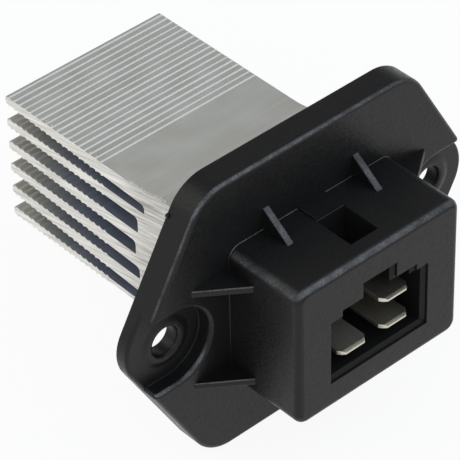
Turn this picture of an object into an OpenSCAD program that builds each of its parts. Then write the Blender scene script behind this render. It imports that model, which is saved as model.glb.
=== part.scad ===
// Blower motor resistor, transistor type: a moulded flange with a keyed plug socket,
// three flat blades and a finned heat sink behind the flange.
// X runs from ear to ear, the socket faces -Y, the fins point to +Y, Z is up.
// The origin is midway between the two fixing holes, on the flange's seat.

/* [Flange] */
// Distance between the two fixing holes
hole_spacing = 60; // [54:0.5:72]
// Diameter of the fixing holes
hole_d = 5.4; // [4.5:0.1:7]
// Rounding of the front rim of the fixing holes
hole_edge = 0.6; // [0.2:0.1:1]
// Height of the flange
flange_h = 56.4; // [50:0.2:66]
// Thickness of the flange from its seat to its front face
flange_t = 5.5; // [4.5:0.1:8]
// Radius of the round end of each ear
ear_r = 8.2; // [7.5:0.1:10]
// Radius of the flange's four corners
corner_r = 8; // [5:0.5:12]
// Distance between the centres of the upper corner rounds
corner_spacing = 37.4; // [32:0.2:42]
// Rounding of the flange's front edge
flange_edge_r = 0.8; // [0.4:0.1:1.5]
// Thickness of the ear behind its screw head pocket
ear_plate_t = 2.6; // [1.8:0.1:3.2]
// Radius of the screw head pocket
pocket_r = 7.5; // [6:0.1:8]
// Width of the raised ring around each hole
hole_ring_w = 1.3; // [1.1:0.1:2]
// Height of the raised ring around each hole
hole_ring_h = 0.3; // [0.2:0.1:1]
// Thickness of the flange's web where its back is cored out
web_t = 2.6; // [2:0.1:3.5]
// Width of the rim and ribs left around the cored pockets
rim_w = 2.2; // [1.5:0.1:3]

/* [Plug socket] */
// Width of the socket box
box_w = 36.6; // [34:0.2:42]
// Height of the socket box
box_h = 28.5; // [26:0.1:34]
// Rounding of the box edges
box_r = 1.4; // [0.8:0.1:2.5]
// Wall of the chamber inside the box
box_wall = 2.3; // [1.8:0.1:3]
// Width of the plug opening
socket_w = 20.2; // [18:0.1:23]
// Width of the stepped part of the plug opening
step_w = 15; // [13:0.1:17]
// Width of the key channel
key_w = 5.8; // [4.5:0.1:9]
// Floor of the plug opening, below the middle of the box
socket_bottom = 7.8; // [7:0.1:9]
// Roof of the plug opening beside the step, above the middle
socket_top = 3.5; // [2.5:0.1:4.5]
// Height of the step above that roof
step_rise = 1.25; // [0.6:0.1:2]
// Height of the key channel above the step
key_rise = 3.05; // [2:0.1:4]
// Depth of the plug opening
socket_depth = 12.2; // [9:0.1:16]
// Lead-in bevel around the plug opening
lead_in = 0.9; // [0.3:0.1:1.4]
// Thickness of the wall behind the plug opening
floor_t = 1.6; // [1.2:0.1:2.5]
// Wall left between the plug opening and the side cores
shroud_t = 2.4; // [1.6:0.1:3]
// Thickness of the box's front wall before the side cores
front_wall = 2.6; // [2:0.1:4]
// Width of the latch window
window_w = 6; // [4.5:0.1:8]
// Distance of the latch window from the box's front
window_setback = 3.8; // [3:0.1:6]
// Distance of the latch window from the wall behind the plug opening
window_end = 0.5; // [0.3:0.1:2]
// Height of the raised strip behind the window
strip_h = 0.35; // [0.2:0.05:0.8]

/* [Gussets] */
// Distance of the gussets from the middle of the box
gusset_pos = 10; // [8:0.1:12]
// Thickness of the gussets
gusset_t = 1.35; // [1:0.05:2]
// Run of the gussets along the box
gusset_run = 6; // [4:0.1:9]
// Rise of the upper and lower gussets on the flange
gusset_rise = 4.4; // [3:0.1:6]
// Rise of the side gussets on the flange
side_rise = 7.9; // [5:0.1:9]

/* [Heat sink] */
// Length of the extrusion, across the fins
sink_w = 35; // [34:0.5:44]
// Distance from the seat to the fin tips
sink_len = 52.4; // [44:0.2:70]
// Number of fins
fin_count = 6; // [4:1:7]
// Distance from fin to fin at the tips
fin_pitch = 4.9; // [4.4:0.05:5.4]
// Thickness of a fin at its tip
fin_tip_t = 1.5; // [1.1:0.05:2]
// Mean thickness of the inner fins at their root
fin_root_t = 2.45; // [1.8:0.05:2.8]
// How much thicker each inner fin is at its root than the fin above it
fin_root_grow = 0.36; // [0:0.02:0.5]
// Thickness of the top fin at its root
top_root_t = 3; // [2:0.05:3.2]
// Thickness of the bottom fin at its root
low_root_t = 0.7; // [0.6:0.05:1.2]
// How much wider the fins are spaced at their roots than at their tips
root_spread = 0.4; // [0:0.05:0.6]
// How far the roots of the inner fins lie below the fins' tips
root_drop = 0.76; // [0.2:0.02:1]
// Depth of the solid base at its crown
base_t = 19; // [15:0.1:24]
// Radius of the crown that the slots end on
crown_r = 18; // [14:0.5:40]
// How far the base stands proud of the outer fins
base_flare = 0.8; // [0.4:0.1:1.5]
// Length of the blend from the outer fins to the base
flare_len = 5; // [3:0.5:7]
// Distance from ridge to ridge along a fin
ridge_pitch = 1.43; // [1.2:0.01:2]
// Smooth length of a fin from the crown to its last ridge
smooth_len = 7.6; // [5:0.1:14]
// Height of the ridges
ridge_h = 0.28; // [0.15:0.01:0.4]
// Width of a ridge at its foot
ridge_w = 0.62; // [0.4:0.02:0.9]

/* [Collar and snaps] */
// Wall of the collar around the heat sink's base
collar_t = 2.2; // [1.6:0.1:3]
// Length of the collar behind the seat
collar_len = 3; // [2:0.1:5]
// Width of a snap arm
snap_w = 12; // [8:0.5:18]
// Distance from the seat to the snap groove
groove_y = 6; // [5.5:0.1:8]
// Width of the snap groove
groove_w = 2.4; // [2:0.1:3]
// Depth of the snap groove
groove_d = 1.1; // [0.8:0.05:1.5]
// Play between the base and its collar
collar_play = 0.2; // [0.1:0.05:0.4]

/* [Blades] */
// Width of a blade
blade_w = 6.3; // [4.8:0.1:7]
// Thickness of a blade
blade_t = 0.8; // [0.6:0.05:1.1]
// Distance from the middle to the blades on either side
blade_x = 4.75; // [4.4:0.05:5.5]
// Height of the lower blades below the middle
blade_low = 5.1; // [4.5:0.1:5.6]
// Height from the lower blades to the upper blade
blade_step = 5.8; // [4.5:0.1:6.6]
// Setback of the blade tips from the box's front
blade_setback = 0.75; // [0.3:0.05:3]
// Width of the bevelled corners at a blade's tip
tip_bevel_w = 1; // [0.5:0.05:1.4]
// Length of the bevelled corners at a blade's tip
tip_bevel_len = 1.3; // [0.6:0.05:2]
// Length of the slopes on a blade's faces at its tip
tip_slope_len = 0.6; // [0.3:0.05:1.2]
// Width of a blade's tail in the board
tail_w = 2; // [1.4:0.1:2.6]
// Play around a blade in the wall
blade_play = 0.1; // [0.05:0.05:0.2]

/* [Circuit board] */
// Thickness of the board
board_t = 1.6; // [1:0.1:2]
// Gap between the socket's back wall and the board
board_gap = 0.8; // [0.6:0.05:1.2]
// Play between the board and the chamber walls
board_play = 0.4; // [0.2:0.05:0.8]
// Gap between the board and the transistor
board_clear = 0.8; // [0.7:0.05:1.5]
// Diameter of the wires of the small parts
wire_d = 0.6; // [0.4:0.05:0.8]

/* [Transistor] */
// Width of the transistor
case_w = 10; // [9:0.1:11]
// Height of the moulded body
case_h = 9.2; // [8.5:0.1:10]
// Thickness of the transistor with its tab
case_t = 4.5; // [4.2:0.1:4.8]
// Height of the bare tab above the body
tab_h = 6.4; // [5.8:0.1:6.8]
// Distance of the tab's hole from its top
tab_hole_set = 2.9; // [2.6:0.05:3.2]
// Thickness of the tab
tab_t = 1.3; // [1:0.05:1.4]
// Distance of the transistor's middle from the part's middle
case_x = 7.5; // [6.5:0.1:9]
// Distance from lead to lead
lead_pitch = 2.54; // [2.2:0.02:2.9]
// Width of a lead
lead_w = 0.8; // [0.6:0.05:1]
// Thickness of a lead
lead_t = 0.5; // [0.4:0.05:0.7]
// Distance from the tab's back to the middle of the leads
lead_set = 2.5; // [2.2:0.05:2.8]
// Thickness of the insulating pad
pad_t = 0.3; // [0.2:0.05:0.5]
// Diameter of the clamp screw
screw_d = 3; // [2.5:0.1:3.2]
// Length of the screw below its head
screw_len = 9; // [8:0.5:12]
// Diameter of the screw's head
head_d = 5.6; // [5:0.1:6]
// Height of the screw's head
head_h = 2; // [1.6:0.1:2.3]
// Thickness of the spring washer
washer_t = 0.8; // [0.5:0.05:1]
// Thickness of the insulating bush's rim
bush_t = 0.8; // [0.5:0.05:1]

/* [Small parts] */
// Diameter of a resistor
resistor_d = 2.3; // [1.8:0.1:2.8]
// Length of a resistor
resistor_len = 6.3; // [5:0.1:7]
// Diameter of the zener diode
diode_d = 2.5; // [1.8:0.1:2.6]
// Length of the zener diode
diode_len = 4.6; // [3.5:0.1:5]
// Distance between the two bent wires of an axial part
wire_span = 9; // [8.5:0.1:10]
// Width of the capacitor
cap_w = 6.8; // [6:0.1:7.5]
// Thickness of the capacitor
cap_t = 2.6; // [2:0.1:3]
// Height of the capacitor above the board
cap_h = 4.4; // [3.5:0.1:4.8]

/* [Hidden] */

// Run of a cut past the face it opens, depth of a root sunk into its wall, thinnest layer
through = 1;
embed = 0.6;
layer = 0.01;
round_fn = 48;
edge_fn = 32;

// Stations along Y, from the seat to the front of the box
case_front_y = -(pad_t + case_t);
board_back_y = case_front_y - board_clear;
board_front_y = board_back_y - board_t;
floor_back_y = board_front_y - board_gap;
floor_front_y = floor_back_y - floor_t;
front_y = floor_front_y - socket_depth;
tip_y = front_y + blade_setback;

// Flange outline: the sides slant from the ears to the corners, tangent to both
ear_x = hole_spacing / 2;
corner_x = corner_spacing / 2;
corner_z = flange_h / 2 - corner_r;
slant = atan2(corner_z, corner_x - ear_x)
    - acos((ear_r - corner_r) / norm([corner_x - ear_x, corner_z]));
hole_ring_r = hole_d / 2 + hole_ring_w;
ring_top_y = -ear_plate_t - hole_ring_h;
arc_steps = 12;
pocket_steps = 28;
edge_angles = [30, 60, 90];
gate_mark_r = 0.6;
gate_mark_len = 1.2;
gate_mark_run = 2;

// Plug opening
step_top = socket_top + step_rise;
key_top = step_top + key_rise;

// Heat sink profile
half_fins = (fin_count - 1) / 2 * fin_pitch + fin_tip_t / 2;
base_h = 2 * (half_fins + base_flare);
slot_count = fin_count - 1;
root_pitch = fin_pitch + root_spread;
slot_upper_r = 0.9;
slot_lower_r = 0.3;
flare_end = slot_y(0) + slot_upper_r;
flare_start = flare_end - flare_len;
flare_steps = 6;
corner_steps = 5;
tip_round = 0.3;
ridge_start = 0.95;
ridge_count = floor((sink_len - base_t - smooth_len - ridge_start) / ridge_pitch) + 1;

// Chamber, and the opening at its back that the heat sink's base covers
cavity_w = box_w - 2 * box_wall;
cavity_h = box_h - 2 * box_wall;
seat_ledge = 1.5;
seat_t = 1;
seat_open_w = sink_w - 2 * seat_ledge;
seat_open_h = base_h - 2 * seat_ledge;
core_x = socket_w / 2 + shroud_t;

// Collar and snaps
collar_in_z = base_h / 2 + collar_play;
collar_in_x = sink_w / 2 + collar_play;
snap_tip = 1.2;
snap_end = groove_y + groove_w + snap_tip;
barb_play = 0.15;

// Circuit board and what it carries
board_w = cavity_w - 2 * board_play;
board_h = cavity_h - 2 * board_play;
shoulder_w = 0.75;
tail_proud = 0.45;
tip_thin = 0.2;
hole_play = 0.1;
joint_clear = 0.3;
joint_h = board_gap - joint_clear;
joint_rim = 0.55;
rest_w = 2;
rest_x = core_x - rest_w / 2;
rest_z = board_h / 2 - rest_w / 2;
signal_at = [blade_x, blade_step - blade_low];
ground_at = [blade_x, -blade_low];
motor_at = [-blade_x, -blade_low];

// Transistor
tab_gap = 1.3;
tab_top = cavity_h / 2 - tab_gap;
case_top = tab_top - tab_h;
case_bottom = case_top - case_h;
tab_sunk = 1.6;
tab_bottom = case_bottom + tab_sunk;
lead_y = -pad_t - lead_set;
lead_edge = 1.8;
lead_z = lead_edge - board_h / 2;
lead_hold = 2.4;
riser_h = 0.9;
lead_end_y = board_front_y - joint_h;
screw_z = tab_top - tab_hole_set;
screw_play = 0.1;
bush_wall = 0.2;
bush_spigot_d = screw_d + 2 * (screw_play + bush_wall);
tab_hole_d = bush_spigot_d + 2 * screw_play;
bush_rim = 0.25;
bush_d = head_d + 2 * bush_rim;
washer_set = 0.15;
washer_d = head_d - 2 * washer_set;
screw_seat_y = -(pad_t + tab_t + bush_t + washer_t);
screw_end_y = screw_seat_y + screw_len;
tap_clear = 1.5;
recess_w = 0.9;
recess_d = 1;
pad_margin_x = 1;
pad_margin_z = 0.7;
pad_play = 0.3;

// Places of the small parts on the board, X and Z of their middles
part_edge = 1.7;
resistor_pitch = 3.6;
resistor_z = -2.8;
gate_resistor_at = [board_w / 2 - part_edge, resistor_z];
pulldown_resistor_at = gate_resistor_at - [resistor_pitch, 0];
zener_x = -0.5;
zener_edge = 6.75;
zener_diode_at = [zener_x, board_h / 2 - zener_edge];
capacitor_edge = 4.4;
capacitor_at = [board_w / 2 - capacitor_edge, board_h / 2 - capacitor_edge];
cap_wire_span = 5;

// A sketch in X and Z swept from y_from back to y_to
module along_y(y_from, y_to)
    translate([0, y_to, 0]) rotate([90, 0, 0]) linear_extrude(y_to - y_from) children();

// A sketch in Y and Z swept along X about x_mid
module along_x(x_mid, width)
    translate([x_mid - width / 2, 0, 0]) rotate([90, 0, 90]) linear_extrude(width) children();

// A round bar along Y, r_to at its far end
module rod_y(at, y_from, y_to, r_from, r_to)
    translate([at[0], y_from, at[1]]) rotate([-90, 0, 0])
        cylinder(h = y_to - y_from, r1 = r_from, r2 = r_to, $fn = round_fn);

// A block about a point in X and Z
module block(at, width, height, y_from, y_to)
    translate([at[0] - width / 2, y_from, at[1] - height / 2]) cube([width, y_to - y_from, height]);

function arc(at, r, a_from, a_to, steps) =
    [for (i = [0:steps]) let (a = a_from + (a_to - a_from) * i / steps) at + r * [cos(a), sin(a)]];

function flange_outline(inset) = concat(
    arc([ear_x, 0], ear_r - inset, -slant, slant, arc_steps),
    arc([corner_x, corner_z], corner_r - inset, slant, 90, arc_steps),
    arc([-corner_x, corner_z], corner_r - inset, 90, 180 - slant, arc_steps),
    arc([-ear_x, 0], ear_r - inset, 180 - slant, 180 + slant, arc_steps),
    arc([-corner_x, -corner_z], corner_r - inset, 180 + slant, 270, arc_steps),
    arc([corner_x, -corner_z], corner_r - inset, 270, 360 - slant, arc_steps));

// Flange plate with its front edge rounded
module flange_block() {
    straight_y = flange_edge_r - flange_t;
    hull() {
        along_y(straight_y, 0) polygon(flange_outline(0));
        for (a = edge_angles)
            along_y(straight_y - flange_edge_r * sin(a), straight_y - flange_edge_r * sin(a) + layer)
                polygon(flange_outline(flange_edge_r * (1 - cos(a))));
    }
}

// Socket box with its edges rounded
module box_block() hull()
    for (sx = [-1, 1], sz = [-1, 1])
        translate([sx * (box_w / 2 - box_r), 0, sz * (box_h / 2 - box_r)]) {
            translate([0, front_y + box_r, 0]) sphere(box_r, $fn = edge_fn);
            translate([0, -embed, 0]) rotate([90, 0, 0])
                cylinder(h = -embed - front_y - box_r, r = box_r, $fn = edge_fn);
        }

// Triangular webs between the box and the flange
module gussets() {
    root_y = embed - flange_t;
    toe_y = -flange_t - gusset_run;
    for (sx = [-1, 1], sz = [-1, 1]) {
        along_x(sx * gusset_pos, gusset_t)
            polygon([[root_y, sz * (box_h / 2 - embed)], [toe_y, sz * (box_h / 2 - embed)],
                [toe_y, sz * box_h / 2], [-flange_t, sz * (box_h / 2 + gusset_rise)],
                [root_y, sz * (box_h / 2 + gusset_rise)]]);
        translate([0, 0, sz * gusset_pos - gusset_t / 2]) linear_extrude(gusset_t)
            polygon([[sx * (box_w / 2 - embed), root_y], [sx * (box_w / 2 - embed), toe_y],
                [sx * box_w / 2, toe_y], [sx * (box_w / 2 + side_rise), -flange_t],
                [sx * (box_w / 2 + side_rise), root_y]]);
    }
}

// Raised strip from the flange to the latch window
module window_strip()
    translate([-window_w / 2, floor_front_y - window_end - embed, box_h / 2 - embed])
        cube([window_w, 2 * embed - flange_t - floor_front_y + window_end, embed + strip_h]);

// Trace of the moulding gate on the slanted edge
module gate_mark() {
    foot = [-corner_x, corner_z] + corner_r * [-cos(slant), sin(slant)];
    rod_y(foot - gate_mark_run * [sin(slant), cos(slant)], -gate_mark_len, 0, gate_mark_r, gate_mark_r);
}

// Screw head pockets in the ears, open to the outside
module ear_pockets()
    for (s = [-1, 1])
        along_y(-flange_t - through, -ear_plate_t)
            polygon(concat([[s * (ear_x + ear_r + through), -pocket_r]],
                [for (p = arc([0, 0], pocket_r, 270, 90, pocket_steps)) [s * (ear_x + p[0]), p[1]]],
                [[s * (ear_x + ear_r + through), pocket_r]]));

// Pockets that core out the back of the flange above and below the collar
module flange_cores() {
    reach = ear_x - pocket_r - rim_w;
    low_z = collar_in_z + collar_t + rim_w;
    core_w = (2 * reach - 2 * rim_w) / 3;
    for (sz = [-1, 1], i = [-1:1])
        intersection() {
            along_y(web_t - flange_t, through) polygon(flange_outline(rim_w));
            block([i * (core_w + rim_w), sz * (low_z + flange_h / 2)], core_w, flange_h,
                -flange_t, 2 * through);
        }
}

// Chamber behind the socket, with a core on either side of the plug opening and room for the pad in its back
module chamber() {
    block([0, 0], cavity_w, cavity_h, floor_back_y, -seat_t);
    block([0, 0], seat_open_w, seat_open_h, -seat_t - layer, through);
    block([-case_x, (tab_top + case_bottom) / 2], case_w + 2 * (pad_margin_x + pad_play),
        tab_top - case_bottom + 2 * (pad_margin_z + pad_play), -seat_t - layer, through);
    for (s = [-1, 1])
        block([s * (core_x + cavity_w / 2) / 2, 0], cavity_w / 2 - core_x, cavity_h,
            front_y + front_wall, floor_back_y + through);
}

// One rectangle of the plug opening with its lead-in bevel
module opening_part(width, top) {
    height = socket_bottom + top;
    at = [0, top - height / 2];
    block(at, width, height, front_y - through, floor_front_y);
    translate([at[0], front_y + lead_in, at[1]]) rotate([90, 0, 0])
        linear_extrude(lead_in + layer, scale = [1 + 2 * lead_in / width, 1 + 2 * lead_in / height])
            square([width, height], center = true);
}

// Keyed plug opening
module plug_opening() {
    opening_part(socket_w, socket_top);
    opening_part(step_w, step_top);
    opening_part(key_w, key_top);
}

// Window for the plug's latch, from the box's top into the key channel
module latch_window()
    translate([-window_w / 2, front_y + window_setback, key_top - embed])
        cube([window_w, socket_depth - window_setback - window_end, box_h]);

// Collar and snap arms that hold the heat sink's base
module collar() {
    difference() {
        block([0, 0], 2 * (collar_in_x + collar_t), 2 * (collar_in_z + collar_t), -embed, collar_len);
        block([0, 0], 2 * collar_in_x, 2 * collar_in_z, -embed - through, collar_len + through);
    }
    for (s = [-1, 1]) {
        block([0, s * (collar_in_z + collar_t / 2)], snap_w, collar_t, -embed, snap_end);
        along_x(0, snap_w)
            polygon([[groove_y + barb_play, s * (collar_in_z + embed)],
                [groove_y + barb_play, s * (base_h / 2 - groove_d + barb_play)],
                [groove_y + groove_w / 2, s * (base_h / 2 - groove_d + barb_play)],
                [groove_y + groove_w - barb_play, s * collar_in_z],
                [groove_y + groove_w - barb_play, s * (collar_in_z + embed)]]);
    }
}

// Small feet that the circuit board rests on
module board_rests()
    for (at = [[-rest_x, rest_z], [rest_x, rest_z], [rest_x, -rest_z]])
        block(at, rest_w, rest_w, floor_back_y - embed, board_front_y);

module housing() color([0.11, 0.11, 0.115]) difference() {
    union() {
        difference() {
            union() {
                flange_block();
                box_block();
                gussets();
                window_strip();
                gate_mark();
            }
            ear_pockets();
            flange_cores();
            chamber();
            plug_opening();
            latch_window();
        }
        for (s = [-1, 1])
            rod_y([s * ear_x, 0], ring_top_y, -ear_plate_t + embed, hole_ring_r, hole_ring_r);
        collar();
        board_rests();
    }
    for (s = [-1, 1]) {
        rod_y([s * ear_x, 0], -flange_t, through, hole_d / 2, hole_d / 2);
        rod_y([s * ear_x, 0], ring_top_y - layer, ring_top_y + hole_edge, hole_d / 2 + hole_edge, hole_d / 2);
    }
    for (at = [signal_at, ground_at, motor_at])
        block(at, blade_w + 2 * blade_play, blade_t + 2 * blade_play, floor_front_y - through,
            floor_back_y + through);
}

// Middle of fin i at its tip, middle and thickness of an inner fin at its root
function fin_z(i) = ((fin_count - 1) / 2 - i) * fin_pitch;
function root_z(i) = ((fin_count - 1) / 2 - i) * root_pitch - root_drop;
function root_t(i) = fin_root_t + fin_root_grow * (i - (fin_count - 1) / 2);

// Roof and floor of slot j at its end, and how deep the slot is cut
function slot_roof(j) = j == 0 ? half_fins - top_root_t : root_z(j) - root_t(j) / 2;
function slot_floor(j) = j == slot_count - 1 ? low_root_t - half_fins : root_z(j + 1) + root_t(j + 1) / 2;
function slot_y(j) = base_t - pow((slot_roof(j) + slot_floor(j)) / 2 + root_drop, 2) / (2 * crown_r);

// Height at y of the straight line from p to q
function on_line(p, q, y) = p[1] + (q[1] - p[1]) * (y - p[0]) / (q[0] - p[0]);

// Ridged face of a fin from its root to its tip, ridges standing off to the given side
function fin_face(root, tip, side) = concat([root],
    [for (k = [ridge_count - 1:-1:0], s = [-1, 0, 1])
        let (y = sink_len - ridge_start - k * ridge_pitch + s * ridge_w / 2)
        [y, on_line(root, tip, y) + (s == 0 ? side * ridge_h : 0)]],
    [[tip[0] - tip_round, tip[1]], [tip[0], tip[1] - side * tip_round]]);

function reversed(list) = [for (i = [len(list) - 1:-1:0]) list[i]];

// Roots of the upper and lower face of fin i
function upper_root(i) = i == 0 ? [flare_end, half_fins] : [slot_y(i - 1) + slot_lower_r, slot_floor(i - 1)];
function lower_root(i) = i == slot_count ? [flare_end, -half_fins] : [slot_y(i) + slot_upper_r, slot_roof(i)];

// Rounded end of slot j between two fins
function slot_end(j) = j == slot_count ? [] : concat(
    arc([slot_y(j) + slot_upper_r, slot_roof(j) - slot_upper_r], slot_upper_r, 105, 180, corner_steps),
    arc([slot_y(j) + slot_lower_r, slot_floor(j) + slot_lower_r], slot_lower_r, 180, 225, 1));

function fin_points(i) = concat(
    fin_face(upper_root(i), [sink_len, fin_z(i) + fin_tip_t / 2], 1),
    reversed(fin_face(lower_root(i), [sink_len, fin_z(i) - fin_tip_t / 2], -1)),
    slot_end(i));

// Outer edge of the base from the seat past the snap groove to the blend into the outer fin
base_edge = concat([[0, base_h / 2], [groove_y, base_h / 2], [groove_y, base_h / 2 - groove_d],
    [groove_y + groove_w, base_h / 2 - groove_d], [groove_y + groove_w, base_h / 2]],
    [for (i = [0:flare_steps - 1])
        [flare_start + flare_len * i / flare_steps, half_fins + base_flare * pow(1 - i / flare_steps, 2)]]);

module heat_sink() color([0.74, 0.74, 0.73]) difference() {
    along_x(0, sink_w)
        polygon(concat(base_edge, [for (i = [0:fin_count - 1], p = fin_points(i)) p],
            [for (p = reversed(base_edge)) [p[0], -p[1]]]));
    rod_y([-case_x, screw_z], -through, screw_end_y + tap_clear, screw_d / 2 + screw_play,
        screw_d / 2 + screw_play);
}

// Flat blade with a bevelled tip, a shoulder behind the wall and a tail through the board
module blade(at) color([0.72, 0.7, 0.62]) translate([at[0], 0, at[1]]) intersection() {
    translate([0, 0, -blade_t]) linear_extrude(2 * blade_t)
        polygon([for (s = [-1, 1], p = s < 0 ? blade_side : reversed(blade_side)) [s * p[0], p[1]]]);
    along_x(0, 2 * blade_w)
        polygon([[tip_y, tip_thin - blade_t / 2], [tip_y + tip_slope_len, -blade_t / 2],
            [board_back_y + tail_proud, -blade_t / 2], [board_back_y + tail_proud, blade_t / 2],
            [tip_y + tip_slope_len, blade_t / 2], [tip_y, blade_t / 2 - tip_thin]]);
}
blade_side = [[blade_w / 2 - tip_bevel_w, tip_y], [blade_w / 2, tip_y + tip_bevel_len],
    [blade_w / 2, floor_back_y], [blade_w / 2 + shoulder_w, floor_back_y],
    [blade_w / 2 + shoulder_w, board_front_y], [tail_w / 2, board_front_y],
    [tail_w / 2, board_back_y + tail_proud]];

module terminal_signal() blade(signal_at);
module terminal_ground() blade(ground_at);
module terminal_motor() blade(motor_at);

// Places where wires pass the board
lead_x = [for (s = [-1:1]) s * lead_pitch - case_x];
wire_at = concat([for (at = [gate_resistor_at, pulldown_resistor_at, zener_diode_at], s = [-1, 1])
    at + [0, s * wire_span / 2]], [for (s = [-1, 1]) capacitor_at + [s * cap_wire_span / 2, 0]]);

module circuit_board() color([0.1, 0.33, 0.2]) difference() {
    block([0, 0], board_w, board_h, board_front_y, board_back_y);
    for (at = [signal_at, ground_at, motor_at])
        block(at, tail_w + 2 * hole_play, blade_t + 2 * hole_play, board_front_y - through,
            board_back_y + through);
    for (x = lead_x)
        block([x, lead_z], lead_w + 2 * hole_play, lead_t + 2 * hole_play, board_front_y - through,
            board_back_y + through);
    for (at = wire_at)
        rod_y(at, board_front_y - through, board_back_y + through, wire_d / 2 + hole_play,
            wire_d / 2 + hole_play);
}

// Lead from inside the body down to the board and through it
module lead(x) along_x(x, lead_w)
    polygon([[lead_y - lead_t / 2, case_bottom + lead_hold], [lead_y + lead_t / 2, case_bottom + lead_hold],
        [lead_y + lead_t / 2, lead_z - lead_t / 2], [lead_end_y, lead_z - lead_t / 2],
        [lead_end_y, lead_z + lead_t / 2], [lead_y - lead_t / 2, lead_z + lead_t / 2]]);

// Tab plate behind the body with the middle lead
module tab_stamping() difference() {
    union() {
        translate([-case_x - case_w / 2, -pad_t - tab_t, tab_bottom])
            cube([case_w, tab_t, tab_top - tab_bottom]);
        translate([-case_x - lead_w / 2, lead_y - lead_t / 2, tab_bottom])
            cube([lead_w, lead_set + lead_t / 2 - embed, riser_h]);
        lead(-case_x);
    }
    rod_y([-case_x, screw_z], -pad_t - tab_t - through, through, tab_hole_d / 2, tab_hole_d / 2);
}

module transistor_body() color([0.16, 0.16, 0.17]) difference() {
    translate([-case_x - case_w / 2, case_front_y, case_bottom]) cube([case_w, case_t, case_h]);
    tab_stamping();
    lead(lead_x[0]);
    lead(lead_x[2]);
}

module drain_tab() color([0.72, 0.66, 0.6]) tab_stamping();
module gate_lead() color([0.75, 0.75, 0.74]) lead(lead_x[0]);
module source_lead() color([0.75, 0.75, 0.74]) lead(lead_x[2]);

module insulator_pad() color([0.62, 0.64, 0.68]) difference() {
    translate([-case_x - case_w / 2 - pad_margin_x, -pad_t, case_bottom - pad_margin_z])
        cube([case_w + 2 * pad_margin_x, pad_t, tab_top - case_bottom + 2 * pad_margin_z]);
    rod_y([-case_x, screw_z], -pad_t - through, through, tab_hole_d / 2, tab_hole_d / 2);
}

module insulating_bush() color([0.85, 0.82, 0.72]) difference() {
    union() {
        rod_y([-case_x, screw_z], -pad_t - tab_t - bush_t, -pad_t - tab_t, bush_d / 2, bush_d / 2);
        rod_y([-case_x, screw_z], -pad_t - tab_t - embed, -pad_t, bush_spigot_d / 2, bush_spigot_d / 2);
    }
    rod_y([-case_x, screw_z], -pad_t - tab_t - bush_t - through, through, screw_d / 2 + screw_play,
        screw_d / 2 + screw_play);
}

module spring_washer() color([0.55, 0.55, 0.56]) difference() {
    rod_y([-case_x, screw_z], screw_seat_y, screw_seat_y + washer_t, washer_d / 2, washer_d / 2);
    rod_y([-case_x, screw_z], screw_seat_y - through, through, screw_d / 2 + screw_play,
        screw_d / 2 + screw_play);
    block([-case_x, screw_z + washer_d / 2], washer_t, washer_d, screw_seat_y - through, 0);
}

module clamp_screw() color([0.7, 0.7, 0.68]) difference() {
    union() {
        rod_y([-case_x, screw_z], screw_seat_y - head_h, screw_seat_y, head_d / 2, head_d / 2);
        rod_y([-case_x, screw_z], screw_seat_y - head_h / 2, screw_end_y, screw_d / 2, screw_d / 2);
    }
    for (size = [[recess_w, head_d / 2], [head_d / 2, recess_w]])
        block([-case_x, screw_z], size[0], size[1], screw_seat_y - head_h - through,
            screw_seat_y - head_h + recess_d);
}

// Wire through the board
module board_wire(at, y_to) rod_y(at, lead_end_y, y_to, wire_d / 2, wire_d / 2);

// Axial part lying on the board with both wires bent into it
module axial_part(at, d, len) {
    y = board_back_y + d / 2;
    translate([at[0], y, at[1] - len / 2]) cylinder(h = len, d = d, $fn = round_fn);
    translate([at[0], y, at[1] - wire_span / 2]) cylinder(h = wire_span, d = wire_d, $fn = round_fn);
    for (s = [-1, 1]) {
        translate([at[0], y, at[1] + s * wire_span / 2]) sphere(d = wire_d, $fn = edge_fn);
        board_wire(at + [0, s * wire_span / 2], y);
    }
}

module gate_resistor() color([0.78, 0.68, 0.5]) axial_part(gate_resistor_at, resistor_d, resistor_len);
module pulldown_resistor() color([0.78, 0.68, 0.5])
    axial_part(pulldown_resistor_at, resistor_d, resistor_len);
module zener_diode() color([0.2, 0.2, 0.21]) axial_part(zener_diode_at, diode_d, diode_len);

module filter_capacitor() color([0.75, 0.5, 0.2]) {
    block(capacitor_at, cap_w, cap_t, board_back_y, board_back_y + cap_h);
    for (s = [-1, 1]) board_wire(capacitor_at + [s * cap_wire_span / 2, 0], board_back_y + embed);
}

// Solder around each tail behind the board and around each wire in front of it
module solder_joints() color([0.78, 0.79, 0.8]) {
    for (at = [signal_at, ground_at, motor_at])
        difference() {
            rod_y(at, board_back_y, board_back_y + tail_proud, tail_w / 2 + joint_rim,
                tail_w / 2 + hole_play);
            block(at, tail_w, blade_t, board_back_y - through, board_back_y + through);
        }
    for (x = lead_x)
        difference() {
            rod_y([x, lead_z], board_front_y - joint_h, board_front_y, lead_w / 2 + hole_play,
                lead_w / 2 + joint_rim);
            block([x, lead_z], lead_w, lead_t, board_front_y - through, board_front_y + through);
        }
    for (at = wire_at)
        difference() {
            rod_y(at, board_front_y - joint_h, board_front_y, wire_d / 2 + hole_play, wire_d / 2 + joint_rim);
            rod_y(at, board_front_y - through, board_front_y + through, wire_d / 2, wire_d / 2);
        }
}

housing();
heat_sink();
terminal_signal();
terminal_ground();
terminal_motor();
circuit_board();
transistor_body();
drain_tab();
gate_lead();
source_lead();
insulator_pad();
insulating_bush();
spring_washer();
clamp_screw();
gate_resistor();
pulldown_resistor();
zener_diode();
filter_capacitor();
solder_joints();
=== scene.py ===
import math

import bmesh
import bpy
from mathutils import Matrix, Vector


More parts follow.
